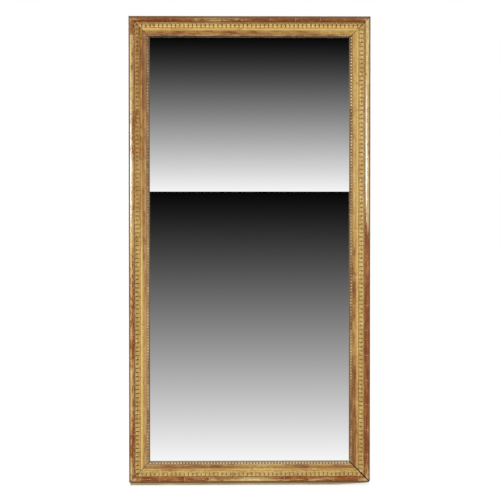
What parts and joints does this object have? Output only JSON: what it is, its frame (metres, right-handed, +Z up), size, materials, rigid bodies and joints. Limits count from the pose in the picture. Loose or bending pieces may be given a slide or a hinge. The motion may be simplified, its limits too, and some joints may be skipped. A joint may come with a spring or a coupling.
{
  "type": "pier mirror",
  "caption": "Tall giltwood wall mirror: two looking-glass plates, one above the other, in mitred carved mouldings on a boarded pine back, with ring hangers.",
  "frame": {"origin": "bottom centre of the plane that lies against the wall", "axes": "+X to the right as seen from the front, the front faces -Y, +Z up"},
  "size_m": [0.796, 0.048, 1.545],
  "materials": {
    "water_gilding": "burnished gold leaf on red bole and gesso over carved wood, rubbed through on the edges",
    "silvered_glass": "polished plate glass, silvered on the back",
    "carcass_pine": "planed pine, darkened by age, ochre wash on the outer edges",
    "backboard_pine": "rough-planed old pine",
    "block_pine": "sawn pine, glued",
    "peg_oak": "cleft oak",
    "bare_pine_strip": "bare pine, greyed and dusty",
    "hand_forged_iron": "forged iron, dark with a little rust"
  },
  "bodies": {
    "frame": {"carcass_top": "carcass_pine", "carcass_bottom": "carcass_pine", "carcass_left": "carcass_pine", "carcass_right": "carcass_pine", "corner_pegs": "peg_oak", "upper_mirror_plate": "silvered_glass", "lower_mirror_plate": "silvered_glass", "glazing_blocks": "block_pine", "backboard_1": "backboard_pine", "backboard_2": "backboard_pine", "backboard_3": "backboard_pine", "backboard_4": "backboard_pine", "backboard_5": "backboard_pine", "backboard_6": "backboard_pine", "backboard_7": "backboard_pine", "backboard_8": "backboard_pine", "backboard_nails": "hand_forged_iron", "torus_moulding_top": "water_gilding", "torus_moulding_bottom": "water_gilding", "torus_moulding_left": "water_gilding", "torus_moulding_right": "water_gilding", "leaf_moulding_top": "water_gilding", "leaf_moulding_bottom": "water_gilding", "leaf_moulding_left": "water_gilding", "leaf_moulding_right": "water_gilding", "hollow_moulding_top": "water_gilding", "hollow_moulding_bottom": "water_gilding", "hollow_moulding_left": "water_gilding", "hollow_moulding_right": "water_gilding", "pearl_moulding_top": "water_gilding", "pearl_moulding_bottom": "water_gilding", "pearl_moulding_left": "water_gilding", "pearl_moulding_right": "water_gilding", "base_strip": "bare_pine_strip", "base_nails": "hand_forged_iron", "hanger_strap_left": "hand_forged_iron", "hanger_strap_right": "hand_forged_iron", "hanger_screws": "hand_forged_iron"},
    "ring_left": {"hanger_ring_left": "hand_forged_iron"},
    "ring_right": {"hanger_ring_right": "hand_forged_iron"}
  },
  "joints": [
    {"name": "ring_left_hinge", "type": "hinge", "parent": "frame", "child": "ring_left", "pos_m": [-0.3745, -0.00622, 1.19], "axis": [1, 0, 0], "range_deg": [0, 180]},
    {"name": "ring_right_hinge", "type": "hinge", "parent": "frame", "child": "ring_right", "pos_m": [0.3745, -0.00622, 1.19], "axis": [1, 0, 0], "range_deg": [0, 180]}
  ]
}
